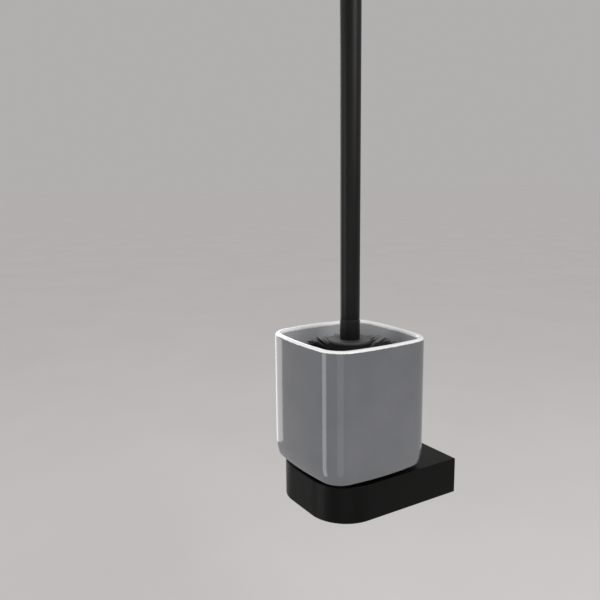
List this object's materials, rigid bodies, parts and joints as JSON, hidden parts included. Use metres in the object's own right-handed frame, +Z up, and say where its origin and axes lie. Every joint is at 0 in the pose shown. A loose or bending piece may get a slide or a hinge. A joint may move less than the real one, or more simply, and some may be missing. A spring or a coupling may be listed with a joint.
{
  "type": "toilet brush holder",
  "caption": "Wall-mounted toilet brush set: black bracket on a hidden wall plate, square glazed ceramic cup and a brush with a slim round handle.",
  "frame": {"origin": "centre of the two wall screw holes, on the wall plane", "axes": "+X right along the wall as seen from the front, +Y into the wall, +Z up"},
  "size_m": [0.0944, 0.1192, 0.384],
  "materials": {
    "plate_steel": "plain",
    "screw_steel": "satin",
    "bracket_black": "matte powder coat",
    "handle_black": "matte powder coat",
    "black_plastic": "fine grain",
    "disc_plastic": "satin",
    "bristle_nylon": "fine filaments",
    "pad_rubber": "matte",
    "cup_glaze": "glossy grey glaze, white at the lip"
  },
  "bodies": {
    "wall_side": {"wall_plate": "plate_steel", "bracket_body": "bracket_black", "underside_cover": "black_plastic", "seat_pad": "pad_rubber"},
    "set_screw": {"set_screw": "screw_steel"},
    "cup": {"cup": "cup_glaze"},
    "head": {"brush_core": "black_plastic", "bristle_row_1": "bristle_nylon", "bristle_row_2": "bristle_nylon", "bristle_row_3": "bristle_nylon", "bristle_row_4": "bristle_nylon", "bristle_row_5": "bristle_nylon", "bristle_row_6": "bristle_nylon", "bristle_row_7": "bristle_nylon", "bristle_row_8": "bristle_nylon", "bristle_tip": "bristle_nylon", "head_stud": "screw_steel", "splash_disc": "disc_plastic", "neck_collar": "handle_black"},
    "washer": {"seal_washer": "pad_rubber"},
    "handle": {"handle_insert": "screw_steel", "handle_tube": "handle_black", "handle_cap": "handle_black"}
  },
  "joints": [
    {"name": "set_screw_turn", "type": "hinge", "parent": "wall_side", "child": "set_screw", "pos_m": [0, -0.0038, -0.0108], "axis": [0, 0, -1], "range_deg": [0, 1440]},
    {"name": "cup_lift", "type": "slide", "parent": "wall_side", "child": "cup", "axis": [0, 0, 1], "range_m": [0, 0.03]},
    {"name": "brush_lift", "type": "slide", "parent": "cup", "child": "head", "axis": [0, 0, 1], "range_m": [0, 0.11]},
    {"name": "handle_rise", "type": "slide", "parent": "head", "child": "washer", "axis": [0, 0, 1], "range_m": [0, 0.0101]},
    {"name": "handle_turn", "type": "hinge", "parent": "washer", "child": "handle", "pos_m": [0.0008, -0.071, 0.1273], "axis": [0, 0, 1], "range_deg": [0, 3600]}
  ],
  "couplings": [
    {"joint": "handle_rise", "follows": "handle_turn", "m_per_rad": 0.00015915}
  ]
}
